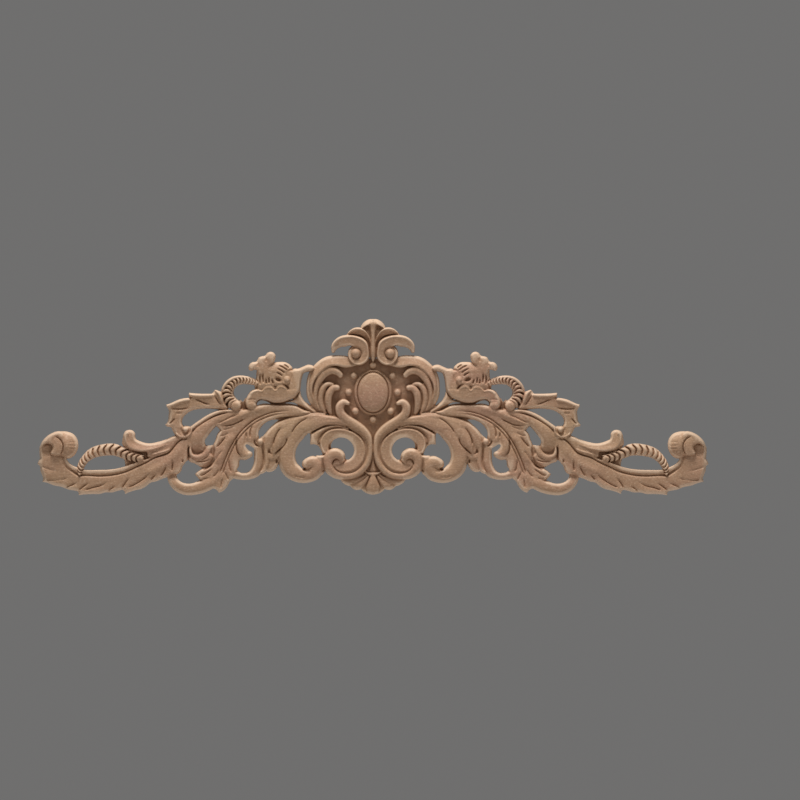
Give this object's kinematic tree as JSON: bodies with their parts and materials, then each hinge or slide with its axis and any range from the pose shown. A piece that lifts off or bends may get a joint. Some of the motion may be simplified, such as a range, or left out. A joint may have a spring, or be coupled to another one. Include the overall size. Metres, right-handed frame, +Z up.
{
  "type": "wood applique",
  "caption": "Pierced, flat-backed carved wood ornament with scrolls, leaves, buds and an oval boss, fixed by its back to furniture or a panel.",
  "frame": {"origin": "on the flat back face, on the centre line, straight behind the middle of the oval boss", "axes": "+X to the right end as seen from the front, +Y into the wall or panel behind, +Z up to the crest; the carved face looks along -Y"},
  "size_m": [0.35, 0.0102, 0.0926],
  "materials": {
    "raw_wood": "bare, sanded, unfinished"
  },
  "bodies": {
    "root": {"applique": "raw_wood"}
  },
  "joints": []
}
